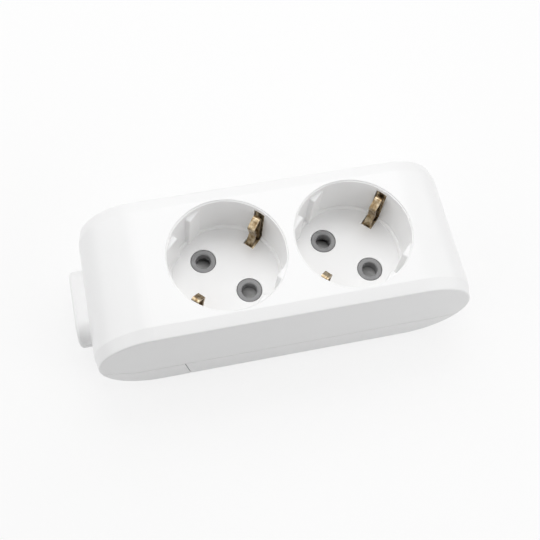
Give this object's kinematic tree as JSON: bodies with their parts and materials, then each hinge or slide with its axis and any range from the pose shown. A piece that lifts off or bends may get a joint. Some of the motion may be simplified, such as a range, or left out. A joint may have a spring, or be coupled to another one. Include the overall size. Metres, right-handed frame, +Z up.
{
  "type": "double extension socket",
  "caption": "White pill-shaped extension block with round earthed socket wells, shuttered pin holes, brass earth clips and a cable inlet at one end.",
  "frame": {"origin": "middle of the whole part's plan, at the underside", "axes": "+X along the length away from the cable inlet, +Y towards the far side face, +Z up out of the wells"},
  "size_m": [0.1338, 0.0494, 0.041],
  "materials": {
    "white_abs": "glossy white moulded ABS",
    "grey_plastic": "matt grey heat-resistant plastic",
    "shutter_plastic": "matt grey moulded shutter",
    "spring_steel": "spring steel strip",
    "brass": "stamped brass strip",
    "zinc_steel": "zinc-plated steel",
    "clamp_plastic": "light grey moulded clamp bar"
  },
  "bodies": {
    "housing": {"top_cover": "white_abs", "base_plate": "white_abs", "wiring_cover": "white_abs", "pin_guide_left": "grey_plastic", "pin_guide_right": "grey_plastic", "shutter_spring_left": "spring_steel", "shutter_spring_right": "spring_steel", "earth_yoke_left": "brass", "earth_yoke_right": "brass", "earth_bar": "brass", "live_busbar": "brass", "neutral_busbar": "brass", "live_terminal": "brass", "neutral_terminal": "brass", "earth_terminal": "brass", "terminal_screws": "zinc_steel", "cord_clamp": "clamp_plastic", "cord_clamp_screws": "zinc_steel", "base_screws": "zinc_steel", "wiring_cover_screws": "zinc_steel"},
    "shutter_left": {"shutter_left": "shutter_plastic"},
    "shutter_right": {"shutter_right": "shutter_plastic"}
  },
  "joints": [
    {"name": "shutter_left_turn", "type": "hinge", "parent": "housing", "child": "shutter_left", "pos_m": [-0.0145, 0, 0.018], "axis": [0, 0, 1], "range_deg": [0, 38], "stiffness_Nm_per_rad": 0.004, "springref_deg": -14.32, "deforming": ["shutter_spring_left"]},
    {"name": "shutter_right_turn", "type": "hinge", "parent": "housing", "child": "shutter_right", "pos_m": [0.0281, 0, 0.018], "axis": [0, 0, 1], "range_deg": [0, 38], "stiffness_Nm_per_rad": 0.004, "springref_deg": -14.32, "deforming": ["shutter_spring_right"]}
  ]
}
